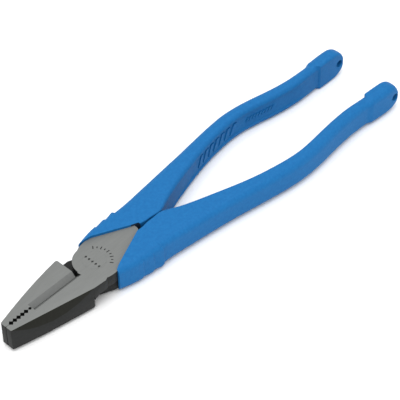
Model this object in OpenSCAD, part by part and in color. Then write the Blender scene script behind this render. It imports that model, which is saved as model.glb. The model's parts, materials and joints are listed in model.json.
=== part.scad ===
// Lineman pliers: two identical forgings crossed in a lap joint, one flush rivet and two moulded grips.
// The rivet's axis is +Z, the jaws point along -X and the grips along +X.
// The forging with the near jaw (-Y) carries the upper lap plate and the far handle (+Y).
// The other forging is the same shape turned over about the long axis.

/* [Overall] */
// Distance from the rivet's axis to the nose of the jaws
nose_len = 52.5; // [51:0.5:55]
// Distance from the rivet's axis to the ends of the grips
tail_len = 176.5; // [175.5:0.5:180]
// Thickness of the forgings
steel_t = 11.6; // [11.2:0.1:12]
// Opening angle of the joint, for a look at the open pliers
open_angle = 0; // [0:1:25]

/* [Jaws] */
// Half width of the closed jaws at the nose
nose_half_w = 3.3; // [3.1:0.1:3.9]
// Half width of the closed jaws at the shoulder
shoulder_half_w = 12.1; // [11.9:0.1:12.4]
// Distance from the rivet's axis back to the end of the jaw's shoulder
shoulder_x = 11.3; // [10.8:0.1:11.5]
// How far the jaw's flank bulges beyond a straight line
flank_bulge = 0.65; // [0.4:0.05:1]
// Tilt of the flat facet ground on the flank, from upright
facet_tilt = 6; // [5:0.5:9]
// Gap left between the closed gripping faces
jaw_gap = 0.14; // [0.06:0.02:0.2]

/* [Serrations and cutter] */
// Number of diamond serrations behind the nose
teeth = 5; // [3:1:5]
// Spacing of the serrations
tooth_pitch = 2.2; // [2:0.05:2.3]
// Size across the corners of one diamond
tooth_w = 2.6; // [1.4:0.1:2.7]
// Distance from the rivet's axis to the front end of the cutter
cutter_front = 37.5; // [36:0.5:38]
// Half width of the cutter's V groove on the upper face
cutter_half_w = 2.3; // [2:0.1:2.6]
// Depth of the cutter's V groove on the upper face
cutter_depth = 2.2; // [1.8:0.1:2.6]
// Half width of the cutter's relief on the lower face
relief_half_w = 3.4; // [2.4:0.1:4]

/* [Joint] */
// Radius of the lap plate in front of the shoulder
lap_r = 9.8; // [9.5:0.05:9.85]
// Radius of the plate's rounded side corner about the rivet
plate_r = 12.1; // [11.9:0.05:12.15]
// Radius of the rivet's flush heads
rivet_head_r = 5.3; // [4.8:0.1:5.6]
// Radius of the rivet's shank
rivet_shank_r = 4.2; // [3.8:0.1:4.4]
// Depth of the countersink under each rivet head
rivet_sink = 1.4; // [1:0.1:2]
// Running clearance round the rivet and between the lap plates
running_gap = 0.04; // [0.02:0.01:0.08]

/* [Grips] */
// Half thickness of a grip along the hand
grip_half_t = 6.7; // [6.5:0.1:7]
// Half thickness of a grip at its flared end
cap_half_t = 7.3; // [7.1:0.1:7.7]
// Radius of a grip's long edges
grip_edge_r = 2.4; // [2:0.1:2.6]
// Wall of a grip beside the steel tang
grip_wall = 1.5; // [1.3:0.1:1.7]
// Radius of the lanyard hole across the flared end
lanyard_r = 1.9; // [1.5:0.1:2.1]
// Height of the raised guard band on the outer side of a grip
band_h = 0.7; // [0.4:0.1:1]

/* [Hidden] */

$fn = 96;
far = 60;
half_t = steel_t / 2;
mid_x = (tail_len - nose_len) / 2;
grip_clear = 0.1;

// Side corner of the lap plate: from the tangent of the rear edge to the end of the round corner
plate_tangent_a = 63;
plate_corner_a = 106;
plate_rear = [25.2, -1];
// Rounded rear corner of the lap plate, then its edge inside the grip
plate_rear_corner = [[30, 2.4], [26.5, 2.4], [26.5, 0.9], [26.2, -0.2]];
plate_far_edge = [[0.5, 10.6], [3, 11.15], [14, 12.05], [30, 12.05]];
// Chamfer where the jaw's shoulder ends, along X and Y
shoulder_chamfer = [1.2, 0.5];
plate_near_corner = [-5, -12.35];
flank_fn = 720;

// Grip plan: [distance behind the rivet, inner edge, outer edge] of the grip on the +Y side
grip_front_x = 2.4;
grip_stations = [
    [grip_front_x, 1.1, 12.7], [8, 1.1, 13.95], [16, 1.1, 14.95], [24, 1.1, 15.4], [28, 1.1, 15.6],
    [31.5, 0.55, 15.8], [35, 0.5, 16.1], [38.5, 0.15, 16.5], [41.5, 0.45, 16.9], [48, 3.2, 17.65],
    [56, 6.2, 18.6], [64, 8.75, 19.6], [72, 11.15, 20.65], [80, 13.4, 21.9], [88, 15.25, 23.1],
    [96, 16.6, 24.15], [104, 17.55, 24.85], [112, 17.65, 24.65], [120, 16.7, 23.75], [128, 15.4, 22.4],
    [136, 14.35, 21.15], [144, 13.85, 20.35], [155, 14.35, 20.1]
];
// The flared end follows these stations
cap_x = 158.5;
cap_stations = [[cap_x, 13.75, 21.05], [166, 13.85, 21.35], [176.5, 14.05, 21.05]];
ramp_len = 3.5;
cap_round_x = tail_len - cap_half_t;
lanyard_x = tail_len - 3.7;
tang_start = 24;
tang_end = 162;
tang_inner_y = 2.4;
tang_root_end = 34;
tang_root_edge = [[grip_front_x + 0.2, 11.05], [8, 12.05], [16, 13.1], [tang_root_end, 14.05]];
tang_half_t = 4.8;
band_mid_x = 15;
band_rear_x = 26.1;
band_edge = 0.4;
lip_gap = 0.06;
room_rear_x = 28.4;
room_rear_y = 0.4;
// Front edges of a grip: where it leaves its own plate bare, and where its lip leaves the partner's bare
bare_edge = [[1, 11.05], [grip_front_x, 11.85], [8.2, 10.85], [25, 3.1], [room_rear_x, 1.8]];
partner_edge = [
    [1, 11.05], [grip_front_x, 11.65], [5, 10.3], [plate_rear[0], 1.1], [room_rear_x, room_rear_y]
];
// Web that carries the lap plate over the end of the jaw's shoulder: its length and its height
web_len = 2.4;
web_h = 1.7;

// Height of the cutting edges, between the groove above and the relief below
cutter_land = 0.4;
// Distance from the rim of the lap plate to the end of the cutter's groove
groove_stop = 0.4;
// Distance from the nose to the first serration, and the notch between serrations and cutter
first_tooth = 3.1;
notch_r = 0.75;
// Bevel of the nose's outer corners in plan
nose_corner = 0.25;

// Jaw flank: an arc through the nose corner and the shoulder corner
flank_a = [-nose_len, -nose_half_w];
flank_b = [-shoulder_x, -shoulder_half_w];
flank_mid = (flank_a + flank_b) / 2;
flank_chord = norm(flank_b - flank_a);
flank_dir = (flank_b - flank_a) / flank_chord;
flank_inward = [-flank_dir[1], flank_dir[0]];
flank_r = (flank_chord * flank_chord / 4 + flank_bulge * flank_bulge) / (2 * flank_bulge);
flank_centre = flank_mid + flank_inward * (flank_r - flank_bulge);

function arc_points(r, from, to, steps) =
    [for (i = [0:steps]) r * [cos(from + (to - from) * i / steps), sin(from + (to - from) * i / steps)]];

// Catmull-Rom interpolation of column c of a station table at place x
function station_value(table, x, c) =
    let (
        n = len(table),
        hits = [for (i = [0:n - 2]) if (x >= table[i][0] && x <= table[i + 1][0]) i],
        i = len(hits) > 0 ? hits[0] : (x < table[0][0] ? 0 : n - 2),
        a = table[max(i - 1, 0)],
        b = table[i],
        d = table[i + 1],
        e = table[min(i + 2, n - 1)],
        w = d[0] - b[0],
        t = min(max((x - b[0]) / w, 0), 1),
        slope_b = i > 0 ? (d[c] - a[c]) / (d[0] - a[0]) : (d[c] - b[c]) / w,
        slope_d = i < n - 2 ? (e[c] - b[c]) / (e[0] - b[0]) : (d[c] - b[c]) / w
    )
    (2 * t * t * t - 3 * t * t + 1) * b[c] + (t * t * t - 2 * t * t + t) * slope_b * w
    + (3 * t * t - 2 * t * t * t) * d[c] + (t * t * t - t * t) * slope_d * w;

function grip_inner(x) = x < cap_x ? station_value(grip_stations, x, 1) : station_value(cap_stations, x, 1);
function grip_outer(x) = x < cap_x ? station_value(grip_stations, x, 2) : station_value(cap_stations, x, 2);
function band(x) = x < band_mid_x ? band_h * 0.55 : x < band_rear_x ? band_h : 0;
function grip_height(x) =
    x < cap_x ? grip_half_t
    : x < cap_round_x ? cap_half_t
    : sqrt(max(cap_half_t * cap_half_t - (x - cap_round_x) * (x - cap_round_x), 0));

// ---- Forging ----

// Full thickness part of the jaw on the -Y side, in plan
module jaw_plan() {
    intersection() {
        polygon([
            [-nose_len + nose_corner, -jaw_gap / 2],
            [-shoulder_x, -jaw_gap / 2],
            [-shoulder_x, -shoulder_half_w + shoulder_chamfer[1]],
            [-shoulder_x - shoulder_chamfer[0], -shoulder_half_w],
            [-shoulder_x - shoulder_chamfer[0], -far],
            [-nose_len + nose_corner, -far],
            [-nose_len + nose_corner, -nose_half_w],
            [-nose_len, -nose_half_w + nose_corner],
            [-nose_len, -jaw_gap / 2 - nose_corner]
        ]);
        translate(flank_centre) circle(r = flank_r, $fn = flank_fn);
    }
}

// Upper lap plate in plan, from the closing line to the tang of the +Y handle
module plate_plan() {
    polygon(concat(
        [[-shoulder_x - 1, -jaw_gap / 2], [-lap_r, -jaw_gap / 2]],
        arc_points(lap_r, 179, 98, 18),
        plate_far_edge,
        plate_rear_corner,
        [plate_rear],
        arc_points(plate_r, -plate_tangent_a, -plate_corner_a, 12),
        [plate_near_corner, [-shoulder_x, -shoulder_half_w], [-shoulder_x - 1, -shoulder_half_w + 0.15]]
    ));
}

// Room that the other forging's lap plate needs, on the +Y side below the joint plane
module plate_room(clear) {
    tangent = (plate_r + clear) * [cos(plate_tangent_a), sin(plate_tangent_a)];
    union() {
        circle(r = plate_r + clear);
        polygon([
            [0, 0], tangent, [plate_rear[0] + clear, -plate_rear[1] + clear], [room_rear_x, room_rear_y],
            [room_rear_x, -far], [0, -far]
        ]);
    }
}

// Plan of the tang inside the +Y grip
module tang_plan() {
    xs = [for (x = [tang_start:6:tang_end]) x];
    polygon(concat(
        [for (x = xs) [x, grip_outer(x) - grip_wall]],
        [for (i = [len(xs) - 1:-1:0]) [xs[i], max(grip_inner(xs[i]) + grip_wall, tang_inner_y)]]
    ));
}

// Root of the tang, where it leaves the joint
module tang_root_plan() {
    polygon(concat(tang_root_edge, [[tang_root_end, tang_inner_y], [tang_root_edge[0][0], tang_inner_y]]));
}

module tang() {
    translate([0, 0, -tang_half_t]) linear_extrude(2 * tang_half_t) tang_plan();
    translate([0, 0, running_gap / 2]) linear_extrude(half_t - running_gap / 2) tang_root_plan();
    translate([0, 0, -half_t]) linear_extrude(half_t + running_gap / 2) tang_root_plan();
}

// Flat facet ground on the upper part of the near jaw's flank
module flank_facet() {
    overrun = 5;
    angle = atan2(flank_dir[1], flank_dir[0]);
    translate([flank_a[0], flank_a[1], half_t])
        rotate([0, 0, angle])
            rotate([-facet_tilt, 0, 0])
                translate([-overrun, -far, -far / 2])
                    cube([flank_chord + overrun + 1, far, far]);
}

// Rivet with countersunk heads ground flush, grown by clear for the hole it turns in
module rivet_profile(clear) {
    rotate_extrude()
        polygon([
            [0, -half_t], [rivet_head_r + clear, -half_t],
            [rivet_shank_r + clear, -half_t + rivet_sink], [rivet_shank_r + clear, half_t - rivet_sink],
            [rivet_head_r + clear, half_t], [0, half_t]
        ]);
}

// Cutter groove above, relief below and diamond serrations, the same on both jaws
module jaw_machining() {
    edge_z = half_t - cutter_depth;
    difference() {
        translate([-cutter_front, 0, 0])
            rotate([90, 0, 90])
                linear_extrude(cutter_front)
                    polygon([
                        [0, edge_z], [cutter_half_w, half_t], [cutter_half_w, half_t + 1],
                        [-cutter_half_w, half_t + 1], [-cutter_half_w, half_t]
                    ]);
        cylinder(r = lap_r + groove_stop, h = far);
    }
    difference() {
        translate([-cutter_front, 0, 0])
            rotate([90, 0, 90])
                linear_extrude(cutter_front)
                    polygon([
                        [0, edge_z - cutter_land], [relief_half_w, -half_t], [relief_half_w, -half_t - 1],
                        [-relief_half_w, -half_t - 1], [-relief_half_w, -half_t]
                    ]);
        translate([0, 0, -far]) cylinder(r = lap_r + groove_stop, h = 2 * far);
    }
    for (i = [0:teeth - 1])
        translate([-nose_len + first_tooth + i * tooth_pitch, 0, 0])
            rotate([0, 0, 45])
                cube([tooth_w / sqrt(2), tooth_w / sqrt(2), steel_t + 2], center = true);
    translate([-cutter_front - notch_r, 0, 0]) cylinder(r = notch_r, h = steel_t + 2, center = true);
}

// Sloping web under the lap plate, behind the jaw's shoulder and clear of the other plate's sweep
module shoulder_web() {
    x0 = -shoulder_x;
    x1 = x0 + web_len;
    overlap = 0.1;
    intersection() {
        rotate([90, 0, 0])
            linear_extrude(far)
                polygon([
                    [x0 - overlap, -web_h], [x0, -web_h], [x0 + 0.35 * web_len, -0.55 * web_h],
                    [x1, 0], [x1, overlap], [x0 - overlap, overlap]
                ]);
        translate([0, 0, -half_t])
            linear_extrude(steel_t)
                difference() {
                    plate_plan();
                    circle(r = plate_r);
                }
    }
}

module forging(rivet_clear) {
    difference() {
        union() {
            shoulder_web();
            translate([0, 0, -half_t]) linear_extrude(steel_t) jaw_plan();
            translate([0, 0, running_gap / 2]) linear_extrude(half_t - running_gap / 2) plate_plan();
            difference() {
                tang();
                translate([0, 0, -far]) linear_extrude(far + running_gap / 2) plate_room(grip_clear);
            }
        }
        flank_facet();
        rivet_profile(rivet_clear);
    }
}

// ---- Grip ----

// One rounded rectangle across the grip, as points in the plane at x
function grip_ring(x) =
    let (
        y0 = grip_inner(x),
        y1 = grip_outer(x) + band(x),
        h = grip_height(x),
        r = min(grip_edge_r, h * 0.9, (y1 - y0) * 0.45),
        steps = 4
    )
    [for (k = [0:3]) for (i = [0:steps])
        let (
            a = 90 * k + 90 * i / steps,
            cy = k == 0 || k == 3 ? y1 - r : y0 + r,
            cz = k < 2 ? h - r : r - h
        )
        [x, cy + r * cos(a), cz + r * sin(a)]];

grip_rings = concat(
    [grip_front_x, 8, band_mid_x - band_edge, band_mid_x + band_edge, 21],
    [band_rear_x - band_edge, band_rear_x + band_edge],
    [for (x = [32:3:41]) x],
    [for (x = [44:4:152]) x],
    [cap_x - ramp_len, cap_x, 162, 165.5],
    [for (a = [0:12:84]) cap_round_x + cap_half_t * sin(a)]
);

module grip_body() {
    rings = [for (x = grip_rings) grip_ring(x)];
    m = len(rings[0]);
    n = len(rings);
    polyhedron(
        points = [for (ring = rings) for (p = ring) p],
        faces = concat(
            [[for (j = [0:m - 1]) j]],
            [for (i = [0:n - 2]) for (j = [0:m - 1])
                let (a = i * m + j, b = i * m + (j + 1) % m) [a, a + m, b]],
            [for (i = [0:n - 2]) for (j = [0:m - 1])
                let (a = i * m + j, b = i * m + (j + 1) % m) [b, a + m, b + m]],
            [[for (j = [m - 1:-1:0]) (n - 1) * m + j]]
        )
    );
}

// Part of its own upper plate that the grip leaves bare
module bare_plate_plan() {
    polygon(concat([[-far, bare_edge[0][1]]], bare_edge, [[room_rear_x, -far], [-far, -far]]));
}

// Part of the other forging's plate that the grip's lip leaves bare
module bare_partner_plan() {
    polygon(concat([[-far, partner_edge[0][1]]], partner_edge, [[room_rear_x, -far], [-far, -far]]));
}

module grip() {
    lip_z = half_t + lip_gap;
    difference() {
        grip_body();
        tang();
        translate([0, 0, running_gap / 2]) linear_extrude(half_t - running_gap / 2) plate_plan();
        translate([0, 0, running_gap / 2]) linear_extrude(far) bare_plate_plan();
        translate([0, 0, -lip_z]) linear_extrude(lip_z + running_gap / 2) plate_room(grip_clear);
        translate([0, 0, -far]) linear_extrude(far + running_gap / 2) bare_partner_plan();
        translate([lanyard_x, 0, 0]) rotate([-90, 0, 0]) cylinder(r = lanyard_r, h = far);
    }
}

// ---- Placing ----

module placed() {
    translate([-mid_x, 0, cap_half_t]) children();
}

module opened() {
    rotate([0, 0, open_angle]) children();
}

module turned_over() {
    rotate([180, 0, 0]) children();
}

module top_half() {
    color("#7d807e") placed() opened() difference() {
        forging(running_gap);
        jaw_machining();
    }
}

module bottom_half() {
    color("#6f7271") placed() difference() {
        turned_over() forging(0);
        jaw_machining();
    }
}

module pivot_rivet() {
    color("#8a8d8b") placed() rivet_profile(0);
}

module top_half_grip() {
    color("#2d7cc3") placed() opened() grip();
}

module bottom_half_grip() {
    color("#2d7cc3") placed() turned_over() grip();
}

top_half();
bottom_half();
pivot_rivet();
top_half_grip();
bottom_half_grip();
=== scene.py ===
"""Lineman pliers: moulded grips, ground and forged steel, and the studio round them.

Dimensions are millimetres in the rivet's frame, with the rivet at the origin and the jaws along -X,
unless a comment says otherwise. The finished meshes are in the row frame, in metres.
"""

import json
import math

import bmesh
import bpy
from mathutils import Matrix, Vector


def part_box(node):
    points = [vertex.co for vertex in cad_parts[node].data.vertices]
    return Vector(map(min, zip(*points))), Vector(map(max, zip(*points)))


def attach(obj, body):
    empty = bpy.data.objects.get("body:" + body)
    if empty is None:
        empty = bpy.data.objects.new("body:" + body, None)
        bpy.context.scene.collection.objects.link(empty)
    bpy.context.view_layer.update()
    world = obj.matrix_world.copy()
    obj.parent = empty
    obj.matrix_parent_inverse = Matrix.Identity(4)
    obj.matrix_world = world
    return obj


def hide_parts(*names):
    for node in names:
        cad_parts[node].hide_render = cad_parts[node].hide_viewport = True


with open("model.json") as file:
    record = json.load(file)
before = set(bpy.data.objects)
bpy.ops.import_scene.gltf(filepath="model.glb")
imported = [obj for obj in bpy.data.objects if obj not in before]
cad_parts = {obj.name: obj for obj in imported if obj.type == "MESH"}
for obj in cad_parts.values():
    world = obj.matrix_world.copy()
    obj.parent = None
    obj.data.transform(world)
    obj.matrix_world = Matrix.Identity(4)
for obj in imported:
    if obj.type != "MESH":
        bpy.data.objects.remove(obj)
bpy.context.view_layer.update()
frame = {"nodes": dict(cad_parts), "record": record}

# one millimetre, in metres
MM = 0.001
# the rivet's place in the row frame, in metres
PIVOT = Vector(frame["record"]["behaviour"]["joints"][0]["pos_m"])
TOP_BODY, BOTTOM_BODY = "top", "bottom"
TURNED_OVER = Matrix.Rotation(math.pi, 4, "X")

# ---- Main dimensions ----

rivet_low, rivet_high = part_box("pivot_rivet")
grip_low, grip_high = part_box("top_half_grip")
STEEL_HALF_T = (rivet_high.z - rivet_low.z) / 2 / MM
RIVET_R = (rivet_high.x - rivet_low.x) / 2 / MM
GRIP_FRONT = (grip_low.x - PIVOT.x) / MM
GRIP_END = (grip_high.x - PIVOT.x) / MM
GRIP_HALF_T = 6.7
CAP_HALF_T = PIVOT.z / MM
# plan of a grip, from outlines measured on the photograph: distance behind the rivet, inner edge,
# outer edge
GRIP_PLAN = [
    (GRIP_FRONT, 1.1, 12.7), (8, 1.1, 13.95), (16, 1.1, 14.95), (24, 1.1, 15.4), (28, 1.1, 15.6),
    (31.5, 0.55, 15.8), (35, 0.5, 16.1), (38.5, 0.15, 16.5), (41.5, 0.45, 16.9), (48, 3.2, 17.65),
    (56, 6.2, 18.6), (64, 8.75, 19.6), (72, 11.15, 20.65), (80, 13.4, 21.9), (88, 15.25, 23.1),
    (96, 16.6, 24.15), (104, 17.55, 24.85), (112, 17.65, 24.65), (120, 16.7, 23.75),
    (128, 15.4, 22.4), (136, 14.35, 21.15), (144, 13.85, 20.35), (155, 14.35, 20.1),
    (165, 14.75, 20.2),
]
# the same for the flared end
CAP_PLAN = [(150, 13.75, 20.95), (158.5, 13.75, 21.05), (166, 13.85, 21.35), (176.5, 14.05, 21.05)]
# columns of the two plans
INNER, OUTER = 1, 2
LANYARD_X = 172.8
LANYARD_R = 1.9
PLATE_R = 12.1
# rear corner of a plate, and of the room that the other half's grip leaves for it
PLATE_REAR = (25.2, -1.0)
ROOM_REAR = (28.4, 0.4)
CLEARANCE = 0.1


# ---- Small helpers ----

def smooth(a, b, x):
    """0 before a, 1 after b, with no corner between."""
    t = min(max((x - a) / (b - a), 0.0), 1.0)
    return t * t * (3 - 2 * t)


def blend(a, b, t):
    return a + (b - a) * t


def plan_value(table, x, column):
    """Catmull-Rom interpolation of a column of a plan table."""
    last = len(table) - 2
    i = 0
    while i < last and x > table[i + 1][0]:
        i += 1
    before, a, b = table[max(i - 1, 0)], table[i], table[i + 1]
    after = table[min(i + 2, len(table) - 1)]
    w = b[0] - a[0]
    t = min(max((x - a[0]) / w, 0.0), 1.0)
    slope_a = (b[column] - before[column]) / (b[0] - before[0])
    slope_b = (after[column] - a[column]) / (after[0] - a[0])
    return ((2 * t**3 - 3 * t**2 + 1) * a[column] + (t**3 - 2 * t**2 + t) * slope_a * w
            + (3 * t**2 - 2 * t**3) * b[column] + (t**3 - t**2) * slope_b * w)


def circle_point(r, degrees):
    a = math.radians(degrees)
    return r * math.cos(a), r * math.sin(a)


def link(name, data):
    obj = bpy.data.objects.new(name, data)
    bpy.context.scene.collection.objects.link(obj)
    return obj


def mesh_from(name, verts, faces):
    mesh = bpy.data.meshes.new(name)
    mesh.from_pydata([tuple(v) for v in verts], [], faces)
    mesh.update()
    return mesh


def solid(name, verts, faces):
    """A closed mesh as an object, with its faces turned outwards."""
    mesh = mesh_from(name, verts, faces)
    bm = bmesh.new()
    bm.from_mesh(mesh)
    bmesh.ops.recalc_face_normals(bm, faces=bm.faces)
    bm.to_mesh(mesh)
    bm.free()
    return link(name, mesh)


def lofted(name, rings):
    """Closed solid through rings that have the same number of points."""
    m = len(rings[0])
    faces = [[i * m + j, (i + 1) * m + j, (i + 1) * m + (j + 1) % m, i * m + (j + 1) % m]
             for i in range(len(rings) - 1) for j in range(m)]
    faces.append(list(range(m)))
    faces.append([(len(rings) - 1) * m + j for j in reversed(range(m))])
    return solid(name, [point for ring in rings for point in ring], faces)


def prisms(name, ends):
    """One object of closed prisms, each given as the outlines of its two ends."""
    verts, faces = [], []
    for low, high in ends:
        start, n = len(verts), len(low)
        verts += [*low, *high]
        faces.append([start + i for i in reversed(range(n))])
        faces.append([start + n + i for i in range(n)])
        faces += [[start + i, start + (i + 1) % n, start + n + (i + 1) % n, start + n + i]
                  for i in range(n)]
    return solid(name, verts, faces)


def upright_prism(name, outline, z0, z1):
    return prisms(name, [([(x, y, z0) for x, y in outline], [(x, y, z1) for x, y in outline])])


def apply_modifiers(obj):
    depsgraph = bpy.context.evaluated_depsgraph_get()
    mesh = bpy.data.meshes.new_from_object(obj.evaluated_get(depsgraph))
    obj.modifiers.clear()
    obj.data = mesh


def cut(obj, *tools):
    for tool in tools:
        mod = obj.modifiers.new("cut", "BOOLEAN")
        mod.operation = "DIFFERENCE"
        mod.solver = "EXACT"
        mod.object = tool
        apply_modifiers(obj)
        bpy.data.objects.remove(tool)


def to_row_frame(obj, turned):
    """From millimetres about the rivet to metres in the row frame."""
    turn = TURNED_OVER if turned else Matrix.Identity(4)
    obj.data.transform(Matrix.Translation(PIVOT) @ Matrix.Scale(MM, 4) @ turn)
    obj.data.update()


def in_rivet_frame(point):
    return (point - PIVOT) / MM


def shade(obj, angle):
    """Smooth shading, broken at edges sharper than the angle in degrees."""
    for polygon in obj.data.polygons:
        polygon.use_smooth = True
    bm = bmesh.new()
    bm.from_mesh(obj.data)
    for edge in bm.edges:
        edge.smooth = len(edge.link_faces) == 2 and edge.calc_face_angle(0) < math.radians(angle)
    bm.to_mesh(obj.data)
    bm.free()


# ---- Sideways drift of the finished tool ----

# the jaws' drift at the nose, how far in front of the rivet it grows, and the nose's own distance
JAW_SWAY = -1.4
JAW_SWAY_GROWS = (9, 69)
NOSE_AHEAD = 52.5
HANDLE_SWAY = 0.8
HANDLE_SWAY_GROWS, HANDLE_SWAY_FADES = (18, 68), (98, 140)


def sway(x):
    """Sideways drift at x: a finished forging is never quite straight."""
    jaws = JAW_SWAY * smooth(*JAW_SWAY_GROWS, -x) / smooth(*JAW_SWAY_GROWS, NOSE_AHEAD)
    handles = HANDLE_SWAY * smooth(*HANDLE_SWAY_GROWS, x) * (1 - smooth(*HANDLE_SWAY_FADES, x))
    return jaws + handles


def bend(obj):
    for vert in obj.data.vertices:
        vert.co.y += sway((vert.co.x - PIVOT.x) / MM) * MM
    obj.data.update()


# ---- Grip ----

# edge radii of the body, and where its inner edge widens from the radius at the front
OUTER_EDGE_R = 3.3
INNER_EDGE_R, FRONT_INNER_EDGE_R = 1.9, 0.45
INNER_EDGE_WIDENS = (34, 52)
# the same for the flared end
CAP_OUTER_EDGE_R = 3.2
CAP_INNER_EDGE_R, CAP_END_EDGE_R = 1.3, 1.9
CAP_EDGE_WIDENS = (165, GRIP_END)
# the largest edge radius, as a part of the section's half height and of its width
EDGE_OF_HEIGHT, EDGE_OF_WIDTH = 0.95, 0.48
CORNER_STEPS = 8
TOP_STEPS = 6
# heights of the points on a section's sides, as parts of the straight side's half height
SIDE_PLACES = [0.95, 0.896, 0.844, 0.7, 0.5, 0.25, 0.0]
# crown of the upper and lower faces, and the heights over which it sets in
CROWN = 0.25
CROWN_AT_Z = (0, 4)
FRONT_SWELL = 0.22
FRONT_SWELL_FADES = (24, 48)
# rounding of the flared end: its length at each side, and how far a side draws in for each
# millimetre of that
CAP_OUTER_ROUND, CAP_INNER_ROUND = 2.8, 1.9
CAP_DRAW_IN = 0.8
CAP_LEAST_HALF_T = 0.1
# start and length of the ramp up to the flared end, at the inner side and at the outer side
RAMP_START = (158.5, 154.0)
RAMP_LENGTH = (0.8, 4.1)
# recessed panel on the inner side, shallower in front of the hand
PANEL_DEPTH = 0.8
PANEL_FRONT_DEPTH = 0.4
PANEL_DEEPENS = (58.0, 76.0)
PANEL_HALF_H = 4.3
PANEL_EDGE = 0.25
PANEL_STARTS, PANEL_FADES = (40.3, 42.0), (138.0, 152.0)
PANEL_ENDS_ACROSS = (0.05, 0.3)
# height of the panel's lower rim, as a part of its upper rim's
LOWER_RIM = 0.65
# guard ribs: rear end and height of each, the height between them and the length of a rear slope
BAND_STEPS = [(14.4, 0.75), (20.4, 0.8), (26.1, 1.05)]
BAND_LOW = 0.3
BAND_FALL = 0.45
# where they grow across the grip, and how far and at what heights they lean forward
BAND_ACROSS = (0.55, 0.9)
BAND_LEAN = 0.9
BAND_LEANS_AT_Z = (2.5, 6.0)
# their swell on the upper and lower faces, as a part of their height, and the same for it
BAND_TOP = 0.2
BAND_TOP_ACROSS = (0.5, 0.8)
BAND_TOP_LEAN = 0.45
BAND_TOP_AT_Z = (4, 6)
# spacing of the rings at the ribs, at the ramp and the panel's start, and elsewhere
BAND_SPACING, FINE_SPACING, SPACING = 0.2, 0.35, 1.0
BAND_RINGS_END = 30
RAMP_RINGS = (153, 164)
# the rings of the rounded end
END_LENGTH, END_STEPS, END_GAP = 8, 26, 0.005


def panel_depth(x):
    front = PANEL_FRONT_DEPTH * smooth(*PANEL_STARTS, x)
    hand = (PANEL_DEPTH - PANEL_FRONT_DEPTH) * smooth(*PANEL_DEEPENS, x)
    return (front + hand) * (1 - smooth(*PANEL_FADES, x))


def band_height(x, lead):
    """Height of the guard ribs near the front; lead moves their ends forward on the top face."""
    x = x + lead
    start = GRIP_FRONT
    for end, height in BAND_STEPS:
        if x <= end:
            return blend(BAND_LOW, height, smooth(start, end, x))
        if x < end + BAND_FALL:
            low = 0 if end == BAND_STEPS[-1][0] else BAND_LOW
            return blend(height, low, smooth(end, end + BAND_FALL, x))
        start = end + BAND_FALL
    return 0.0


def section(y0, y1, h, r_out, r_in):
    """Rounded section as (y, z) points: the outer upper corner first, then over the top."""
    largest = min(h * EDGE_OF_HEIGHT, (y1 - y0) * EDGE_OF_WIDTH)
    r_out, r_in = min(r_out, largest), min(r_in, largest)
    corners = [(y1 - r_out, h - r_out, r_out, 0), (y0 + r_in, h - r_in, r_in, 90),
               (y0 + r_in, r_in - h, r_in, 180), (y1 - r_out, r_out - h, r_out, 270)]
    on_top = [i / TOP_STEPS for i in range(1, TOP_STEPS)]
    on_side = [(1 - f) / 2 for f in SIDE_PLACES]
    on_side += [1 - t for t in on_side[-2::-1]]
    points = []
    for k, (cy, cz, r, start) in enumerate(corners):
        for i in range(CORNER_STEPS + 1):
            dy, dz = circle_point(r, start + 90 * i / CORNER_STEPS)
            points.append((cy + dy, cz + dz))
        y, z = points[-1]
        next_y, next_z, next_r, _ = corners[(k + 1) % 4]
        dy, dz = circle_point(next_r, start + 90)
        points += [(blend(y, next_y + dy, t), blend(z, next_z + dz, t))
                   for t in (on_side if k % 2 else on_top)]
    return points


def body_section(x):
    swell = FRONT_SWELL * (1 - smooth(*FRONT_SWELL_FADES, x))
    inner_r = blend(FRONT_INNER_EDGE_R, INNER_EDGE_R, smooth(*INNER_EDGE_WIDENS, x))
    return section(plan_value(GRIP_PLAN, x, INNER), plan_value(GRIP_PLAN, x, OUTER),
                   GRIP_HALF_T + swell, OUTER_EDGE_R, inner_r)


def end_shrink(x, r):
    """How far a side of the flared end draws in over the last r millimetres."""
    t = max((x - (GRIP_END - r)) / r, 0.0)
    return CAP_DRAW_IN * r * (1 - math.sqrt(max(1 - t * t, 0)))


def cap_section(x):
    past_round = max(x - (GRIP_END - CAP_HALF_T), 0)
    half_t = math.sqrt(max(CAP_HALF_T**2 - past_round**2, CAP_LEAST_HALF_T**2))
    inner_r = blend(CAP_INNER_EDGE_R, CAP_END_EDGE_R, smooth(*CAP_EDGE_WIDENS, x))
    return section(plan_value(CAP_PLAN, x, INNER) + end_shrink(x, CAP_INNER_ROUND),
                   plan_value(CAP_PLAN, x, OUTER) - end_shrink(x, CAP_OUTER_ROUND),
                   half_t, CAP_OUTER_EDGE_R, inner_r)


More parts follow.
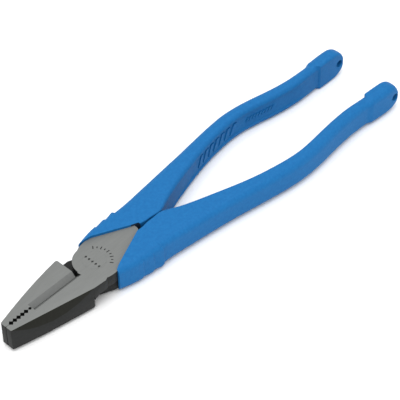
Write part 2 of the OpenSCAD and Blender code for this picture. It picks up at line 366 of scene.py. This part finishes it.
def grip_ring(x):
    """Section at x with its crown, recessed panel and guard ribs, blended into the flared end."""
    y_in, y_out = plan_value(GRIP_PLAN, x, INNER), plan_value(GRIP_PLAN, x, OUTER)
    ring = []
    for (y, z), (cap_y, cap_z) in zip(body_section(x), cap_section(x)):
        across = min(max((y - y_in) / (y_out - y_in), 0.0), 1.0)
        z += (math.copysign(BAND_TOP, z) * band_height(x, BAND_TOP_LEAN * (y_out - y))
              * smooth(*BAND_TOP_ACROSS, across) * smooth(*BAND_TOP_AT_Z, abs(z)))
        z += (math.copysign(CROWN, z) * (0.5 - (2 * across - 1)**2)
              * smooth(*CROWN_AT_Z, abs(z)))
        rim = smooth(PANEL_HALF_H - PANEL_EDGE, PANEL_HALF_H, abs(z))
        if z <= 0:
            rim *= LOWER_RIM
        y += panel_depth(x) * (1 - rim) * (1 - smooth(*PANEL_ENDS_ACROSS, across))
        lean = smooth(*BAND_LEANS_AT_Z, abs(z)) * (1 - across) * (y_out - y_in)
        y += band_height(x, BAND_LEAN * lean) * smooth(*BAND_ACROSS, across)
        ramp_start, ramp_length = blend(*RAMP_START, across), blend(*RAMP_LENGTH, across)
        flare = smooth(ramp_start, ramp_start + ramp_length, x)
        ring.append((x, blend(y, cap_y, flare), blend(z, cap_z, flare)))
    return ring


def grip_places():
    """Places of the rings: close together at ribs, ramps and the rounded end."""
    places = []
    x = GRIP_FRONT
    end_start = GRIP_END - END_LENGTH
    while x < end_start:
        places.append(x)
        fine = RAMP_RINGS[0] < x < RAMP_RINGS[1] or PANEL_STARTS[0] - 1 < x < PANEL_STARTS[1]
        x += BAND_SPACING if x < BAND_RINGS_END else FINE_SPACING if fine else SPACING
    places += [end_start + END_LENGTH * math.sin(math.radians(90 * i / END_STEPS))
               for i in range(END_STEPS)]
    return places + [GRIP_END - END_GAP]


# ---- Cuts in the grip ----

# the crossed front edges, rear end first: above the joint a grip leaves its own plate bare, and
# below it the partner's
BARE_EDGE = [(ROOM_REAR[0], 1.8), (25, 3.1), (8.2, 10.85), (GRIP_FRONT, 11.85), (1, 11.05)]
PARTNER_EDGE = [ROOM_REAR, (PLATE_REAR[0], 1.1), (5, 10.3), (GRIP_FRONT, 11.65), (1, 11.05)]
# angles of the plate's round edge
PLATE_ARC = (63, 285)
PLATE_ARC_STEPS = 48
LIP_GAP = 0.06
# height between the upper and the lower cuts, and how far the two lower ones reach over it
SPLIT_Z = 0.02
ROOM_OVER, PARTNER_OVER = 0.001, 0.0005
# how far the cutters reach past the grip's front, inner side, top and bottom
REACH = 40
# lanyard hole: width of the flare at each mouth, and how far the cutter reaches past the side
LANYARD_FLARE = 0.2
LANYARD_REACH = 3
LANYARD_SIDES = 48


def plate_room():
    """Plan of the room that the other forging's plate needs below the joint plane."""
    start, end = PLATE_ARC
    round_edge = [circle_point(PLATE_R + CLEARANCE, start + (end - start) * i / PLATE_ARC_STEPS)
                  for i in range(PLATE_ARC_STEPS + 1)]
    rear_corner = (PLATE_REAR[0] + CLEARANCE, -PLATE_REAR[1] + CLEARANCE)
    return round_edge + [(ROOM_REAR[0], -REACH), ROOM_REAR, rear_corner]


def in_front_of(edge):
    """Plan of everything in front of an edge that is given from its rear end."""
    return [(-REACH, -REACH), (ROOM_REAR[0], -REACH), *edge, (-REACH, edge[-1][1])]


def lanyard_cutter():
    """Cylinder across the flared end with a small flare where it meets each side."""
    y0, y1 = plan_value(CAP_PLAN, LANYARD_X, INNER), plan_value(CAP_PLAN, LANYARD_X, OUTER)
    mouth_r = LANYARD_R + LANYARD_REACH + LANYARD_FLARE
    profile = [(y0 - LANYARD_REACH, mouth_r), (y0 + LANYARD_FLARE, LANYARD_R),
               (y1 - LANYARD_FLARE, LANYARD_R), (y1 + LANYARD_REACH, mouth_r)]
    rings = []
    for y, r in profile:
        circle = [circle_point(r, 360 * i / LANYARD_SIDES) for i in range(LANYARD_SIDES)]
        rings.append([(LANYARD_X + dx, y, z) for dx, z in circle])
    return lofted("lanyard", rings)


def grip_mesh(name):
    grip = lofted(name, [grip_ring(x) for x in grip_places()])
    lip_z = STEEL_HALF_T + LIP_GAP
    cut(grip,
        upright_prism("bare", in_front_of(BARE_EDGE), SPLIT_Z, REACH),
        upright_prism("room", plate_room(), -lip_z, SPLIT_Z + ROOM_OVER),
        upright_prism("partner", in_front_of(PARTNER_EDGE), -REACH, SPLIT_Z + PARTNER_OVER),
        lanyard_cutter())
    return grip


# ---- Raised bars in the panel ----

# start and end of each row behind the rivet, number of bars, half height of a bar
BAR_ROWS = [(79.0, 108.5, 7, 2.6), (114.0, 130.0, 9, 1.2)]
# height over the panel's floor, and depth of the root under it
BAR_H, BAR_ROOT = 0.45, 0.3
# width as a part of the pitch, and lean along X for each millimetre up
BAR_WIDTH, BAR_LEAN = 0.5, 0.5


def grip_bars(name):
    """Two rows of plain slanted bars raised from the floor of the recessed panel."""
    bars = []
    for start, end, count, half_h in BAR_ROWS:
        pitch = (end - start) / count
        width = pitch * BAR_WIDTH
        for i in range(count):
            foot = []
            for dx, z in ((0, -half_h), (width, -half_h), (width, half_h), (0, half_h)):
                x = start + i * pitch + dx + BAR_LEAN * z
                foot.append((x, plan_value(GRIP_PLAN, x, INNER) + PANEL_DEPTH, z))
            bars.append(([(x, y + BAR_ROOT, z) for x, y, z in foot],
                         [(x, y - BAR_H, z) for x, y, z in foot]))
    return prisms(name, bars)


# ---- Steel ----

STEEL_BEVEL = 0.22
BEVEL_SEGMENTS = 2
# degrees: edges sharper than the first are bevelled, and flatter than the second are dissolved
BEVEL_ANGLE = 35
FLAT_ANGLE = 0.6
# metres
MERGE_DISTANCE = 1e-6
# the jaws' root and the cutter's front along X, and half widths of what stays sharp
JAW_ROOT_X = -9
CUTTER_FRONT_X = -51.5
CUTTER_HALF_W = 3.6
CLOSING_HALF_W = 0.3
RIVET_SEAT_W = 0.4
# engraved marks: ticks on an arc round the rivet, and a row of lozenges
MARK_DEPTH = 0.18
MARK_REACH = 0.5
TICK_R = 7.7
TICK_FROM, TICK_TO, TICK_COUNT = -58.0, 52.0, 9
TICK_HALF_W, LONG_TICK_HALF_L, SHORT_TICK_HALF_L = 0.25, 0.85, 0.5
LOZENGE_ROW_X = -1.2
LOZENGE_ROW_HALF, LOZENGE_COUNT = 4.2, 5
LOZENGE = ((0.8, 0), (0, 0.6), (-0.8, 0), (0, -0.6))


def keeps_sharp(edge):
    """Edges left crisp: the closing line, the serrations and cutter, and the rivet's seat."""
    for vert in edge.verts:
        p = in_rivet_frame(vert.co)
        at_closing_line = abs(p.y) < CLOSING_HALF_W and p.x < JAW_ROOT_X
        at_cutter = abs(p.y) < CUTTER_HALF_W and CUTTER_FRONT_X < p.x < JAW_ROOT_X
        if at_closing_line or at_cutter or math.hypot(p.x, p.y) < RIVET_R + RIVET_SEAT_W:
            return True
    return False


def steel_piece(node, name, marks=()):
    """The CAD node's shape as a clean mesh with softened outer edges and its engraved marks."""
    mesh = frame["nodes"][node].data.copy()
    obj = link(name, mesh)
    bm = bmesh.new()
    bm.from_mesh(mesh)
    bmesh.ops.remove_doubles(bm, verts=bm.verts, dist=MERGE_DISTANCE)
    bmesh.ops.dissolve_limit(bm, angle_limit=math.radians(FLAT_ANGLE),
                             verts=bm.verts, edges=bm.edges)
    weights = bm.edges.layers.float.new("bevel_weight_edge")
    for edge in bm.edges:
        sharp = len(edge.link_faces) == 2 and edge.calc_face_angle(0) > math.radians(BEVEL_ANGLE)
        edge[weights] = 1.0 if sharp and not keeps_sharp(edge) else 0.0
    bm.to_mesh(mesh)
    bm.free()
    mesh.materials.clear()
    mod = obj.modifiers.new("edges", "BEVEL")
    mod.width = STEEL_BEVEL * MM
    mod.segments = BEVEL_SEGMENTS
    mod.limit_method = "WEIGHT"
    apply_modifiers(obj)
    if marks:
        cut(obj, mark_cutter(marks))
    return obj


def mark_cutter(outlines):
    """One cutter for all the engraved marks: prisms sunk a little into the upper face."""
    heights = (STEEL_HALF_T - MARK_DEPTH, STEEL_HALF_T + MARK_REACH)
    return prisms("marks", [[[PIVOT + Vector((x, y, z)) * MM for x, y in outline] for z in heights]
                            for outline in outlines])


def ring_ticks():
    """Plain radial ticks on an arc round the rivet, long and short in turn."""
    ticks = []
    for i in range(TICK_COUNT):
        a = math.radians(TICK_FROM + (TICK_TO - TICK_FROM) * i / (TICK_COUNT - 1))
        along, across = Vector((math.cos(a), math.sin(a))), Vector((-math.sin(a), math.cos(a)))
        half_l = SHORT_TICK_HALF_L if i % 2 else LONG_TICK_HALF_L
        corners = ((-half_l, -TICK_HALF_W), (half_l, -TICK_HALF_W),
                   (half_l, TICK_HALF_W), (-half_l, TICK_HALF_W))
        ticks.append([TICK_R * along + l * along + w * across for l, w in corners])
    return ticks


def row_lozenges():
    """Row of small lozenges across the rivet's head."""
    pitch = 2 * LOZENGE_ROW_HALF / (LOZENGE_COUNT - 1)
    return [[(LOZENGE_ROW_X + dx, -LOZENGE_ROW_HALF + i * pitch + dy) for dx, dy in LOZENGE]
            for i in range(LOZENGE_COUNT)]


# ---- Materials ----

def new_material(name):
    mat = bpy.data.materials.new(name)
    mat.use_nodes = True
    nodes = mat.node_tree.nodes
    shader = nodes["Principled BSDF"]
    return mat, nodes, mat.node_tree.links, shader


def noise(nodes, links, scale, detail, stretch=(1, 1, 1)):
    coords = nodes.new("ShaderNodeTexCoord")
    mapping = nodes.new("ShaderNodeMapping")
    mapping.inputs["Scale"].default_value = stretch
    links.new(coords.outputs["Object"], mapping.inputs["Vector"])
    tex = nodes.new("ShaderNodeTexNoise")
    tex.inputs["Scale"].default_value = scale
    tex.inputs["Detail"].default_value = detail
    links.new(mapping.outputs["Vector"], tex.inputs["Vector"])
    return tex.outputs["Fac"]


def ramp(nodes, links, source, stops):
    """Colour ramp through two stops, each a place and a colour."""
    node = nodes.new("ShaderNodeValToRGB")
    for element, (place, colour) in zip(node.color_ramp.elements, stops):
        element.position = place
        element.color = (*colour, 1)
    links.new(source, node.inputs["Fac"])
    return node.outputs["Color"]


def bump(nodes, links, shader, source, distance, strength):
    node = nodes.new("ShaderNodeBump")
    node.inputs["Distance"].default_value = distance
    node.inputs["Strength"].default_value = strength
    links.new(source, node.inputs["Height"])
    links.new(node.outputs["Normal"], shader.inputs["Normal"])


def vinyl_material():
    mat, nodes, links, shader = new_material("grip_vinyl")
    mottle = noise(nodes, links, scale=800, detail=4)
    colour = ramp(nodes, links, mottle,
                  [(0.3, (0.0074, 0.1155, 0.322)), (0.7, (0.0101, 0.137, 0.361))])
    links.new(colour, shader.inputs["Base Color"])
    grain = noise(nodes, links, scale=2600, detail=3)
    bump(nodes, links, shader, grain, distance=0.00008, strength=0.8)
    shader.inputs["Roughness"].default_value = 0.55
    shader.inputs["Specular IOR Level"].default_value = 0.12
    return mat


def grained_material(name, dark, light, roughness, metallic, specular, stretch=(1, 1, 1)):
    """Fine grain between two close colours; a stretch under 1 draws it out along that axis."""
    mat, nodes, links, shader = new_material(name)
    lines = noise(nodes, links, scale=900, detail=4, stretch=stretch)
    colour = ramp(nodes, links, lines, [(0.3, dark), (0.7, light)])
    links.new(colour, shader.inputs["Base Color"])
    grain = noise(nodes, links, scale=1600, detail=4, stretch=stretch)
    bump(nodes, links, shader, grain, distance=0.00002, strength=0.35)
    shader.inputs["Roughness"].default_value = roughness
    shader.inputs["Metallic"].default_value = metallic
    shader.inputs["Specular IOR Level"].default_value = specular
    return mat


VINYL = vinyl_material()
GROUND = grained_material(
    "ground_steel", dark=(0.158, 0.164, 0.159), light=(0.171, 0.177, 0.172),
    roughness=0.6, metallic=0.2, specular=0.35, stretch=(0.15, 1, 1))
HONED = grained_material(
    "honed_bevel", dark=(0.142, 0.147, 0.144), light=(0.155, 0.160, 0.156),
    roughness=0.5, metallic=0.35, specular=0.4, stretch=(1, 0.15, 1))
FORGED = grained_material(
    "forged_steel", dark=(0.0112, 0.0121, 0.0117), light=(0.0152, 0.0162, 0.0158),
    roughness=0.55, metallic=0.25, specular=0.22)
FACET = grained_material(
    "facet_steel", dark=(0.0080, 0.0084, 0.0056), light=(0.0104, 0.0108, 0.0074),
    roughness=0.5, metallic=0.2, specular=0.13, stretch=(1, 1, 0.2))
ENGRAVED = grained_material(
    "engraved_steel", dark=(0.030, 0.031, 0.030), light=(0.045, 0.046, 0.045),
    roughness=0.6, metallic=0.3, specular=0.3)
STEELS = (GROUND, HONED, FORGED, FACET, ENGRAVED)
# painted shade: dark navy vinyl for the walls of the pocket behind the plate's rear corner,
# standing in for the shade in that recess
PAINTED_POCKET_SHADE = grained_material(
    "pocket_painted_shade", dark=(0.010, 0.022, 0.044), light=(0.016, 0.033, 0.064),
    roughness=0.6, metallic=0.0, specular=0.2)

# Z part of a face's normal: ground and honed faces have more than the first, the flank's facet
# lies between the two, and the third is the facet's least Y part
FACE_UP, FACET_UP, FACET_SIDEWAYS = 0.35, 0.06, 0.8
# a ground face is this near the outer face of its plate; an engraved one lies between this far
# under the upper face and this far past the marks' depth
GROUND_SKIN = 0.3
ENGRAVED_SKIN = 0.05
HONED_REAR_X = -PLATE_R + 2
# the painted shade in the pocket starts this far behind the plate and ends this far behind its room
POCKET_BEHIND = 0.3
POCKET_HALF_W = 3.4
POCKET_WALL_UP = 0.5


def paint_steel(obj):
    """Ground faces look up or down; forged sides, the flank's facet and the marks are darker."""
    for mat in STEELS:
        obj.data.materials.append(mat)
    for polygon in obj.data.polygons:
        n, p = polygon.normal, in_rivet_frame(polygon.center)
        depth = STEEL_HALF_T - p.z
        if math.hypot(p.x, p.y) < PLATE_R and ENGRAVED_SKIN < depth < MARK_DEPTH + ENGRAVED_SKIN:
            material = ENGRAVED
        elif abs(n.z) > FACE_UP and abs(p.z) > STEEL_HALF_T - GROUND_SKIN:
            material = GROUND
        elif abs(n.z) > FACE_UP and abs(p.y) < CUTTER_HALF_W and p.x < HONED_REAR_X:
            material = HONED
        elif p.x < JAW_ROOT_X and FACET_UP < abs(n.z) <= FACE_UP and abs(n.y) > FACET_SIDEWAYS:
            material = FACET
        else:
            material = FORGED
        polygon.material_index = STEELS.index(material)


def paint_grip(grip):
    """Vinyl, with painted shade on the walls of the pocket behind the plate's rear corner."""
    grip.data.materials.clear()
    grip.data.materials.append(VINYL)
    grip.data.materials.append(PAINTED_POCKET_SHADE)
    for polygon in grip.data.polygons:
        n, p = polygon.normal, in_rivet_frame(polygon.center)
        behind_plate = PLATE_REAR[0] + POCKET_BEHIND < p.x < ROOM_REAR[0] + POCKET_BEHIND
        if behind_plate and abs(p.y) < POCKET_HALF_W and abs(n.z) < POCKET_WALL_UP:
            # painted shade on the pocket's walls
            polygon.material_index = 1


# ---- Assembly ----

# degrees: shading breaks at edges sharper than this
GRIP_SHADE_ANGLE = 32
STEEL_SHADE_ANGLE = 30

for node, body, turned in (("top_half_grip", TOP_BODY, False),
                           ("bottom_half_grip", BOTTOM_BODY, True)):
    grip = grip_mesh(body + "_grip_vinyl")
    to_row_frame(grip, turned)
    paint_grip(grip)
    bend(grip)
    shade(grip, GRIP_SHADE_ANGLE)
    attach(grip, body)
    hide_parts(node)
    bars = grip_bars(body + "_grip_bars")
    to_row_frame(bars, turned)
    bars.data.materials.append(VINYL)
    bend(bars)
    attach(bars, body)

for node, body in (("top_half", TOP_BODY), ("bottom_half", BOTTOM_BODY)):
    half = steel_piece(node, body + "_half_steel", ring_ticks() if body == TOP_BODY else ())
    paint_steel(half)
    bend(half)
    shade(half, STEEL_SHADE_ANGLE)
    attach(half, body)
    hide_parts(node)

rivet = steel_piece("pivot_rivet", "rivet_head", row_lozenges())
paint_steel(rivet)
shade(rivet, STEEL_SHADE_ANGLE)
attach(rivet, BOTTOM_BODY)
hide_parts("pivot_rivet")

# ---- Floor and light: row frame, metres ----

FLOOR_HALF = 6.0
FLOOR_Z = -0.0002
FLOOR_CORNERS = ((-1, -1), (1, -1), (1, 1), (-1, 1))
WORLD_STRENGTH = 0.9
OVERHEAD_PLACE = (-0.1, -0.12, 1.0)
OVERHEAD_SIZE = 1.2
OVERHEAD_POWER = 9.4

floor = link("floor", mesh_from(
    "floor", [(x * FLOOR_HALF, y * FLOOR_HALF, FLOOR_Z) for x, y in FLOOR_CORNERS],
    [[0, 1, 2, 3]]))
floor_mat, nodes, links, shader = new_material("floor_paper")
fibres = noise(nodes, links, scale=30, detail=2)
links.new(ramp(nodes, links, fibres, [(0, (0.93, 0.93, 0.93)), (1, (0.96, 0.96, 0.96))]),
          shader.inputs["Base Color"])
shader.inputs["Roughness"].default_value = 0.9
floor.data.materials.append(floor_mat)

world = bpy.data.worlds.new("studio")
bpy.context.scene.world = world
world.use_nodes = True
background = world.node_tree.nodes["Background"]
background.inputs["Color"].default_value = (1, 1, 1, 1)
background.inputs["Strength"].default_value = WORLD_STRENGTH

overhead_data = bpy.data.lights.new("overhead", "AREA")
overhead_data.shape = "SQUARE"
overhead_data.size = OVERHEAD_SIZE
overhead_data.energy = OVERHEAD_POWER
overhead = link("overhead", overhead_data)
overhead.location = OVERHEAD_PLACE
overhead.rotation_euler = (-Vector(OVERHEAD_PLACE)).to_track_quat("-Z", "Y").to_euler()

# ---- Camera: row frame, metres, but lens and sensor in millimetres ----

AZIMUTH = math.radians(-43.482)
ELEVATION = math.radians(44.329)
ROLL = math.radians(-2.4)
# distance of the rivet along the view, and its place right of and above the middle of the view
DISTANCE = 0.9616
RIVET_IN_VIEW = Vector((-0.04548, -0.03011))
LENS, SENSOR_WIDTH = 199.3, 36.0
CLIP_END = 20

look = Vector((-math.sin(AZIMUTH) * math.cos(ELEVATION), math.cos(AZIMUTH) * math.cos(ELEVATION),
               -math.sin(ELEVATION)))
level = look.cross(Vector((0, 0, 1))).normalized()
upright = level.cross(look)
right = level * math.cos(ROLL) + upright * math.sin(ROLL)
up = upright * math.cos(ROLL) - level * math.sin(ROLL)
camera_data = bpy.data.cameras.new("camera")
camera_data.sensor_width = SENSOR_WIDTH
camera_data.lens = LENS
camera_data.clip_end = CLIP_END
camera = link("camera", camera_data)
place = PIVOT - look * DISTANCE - right * RIVET_IN_VIEW.x - up * RIVET_IN_VIEW.y
camera.matrix_world = (Matrix.Translation(place)
                       @ Matrix((right, up, -look)).transposed().to_4x4())
bpy.context.scene.camera = camera
bpy.context.scene.view_settings.view_transform = "Standard"
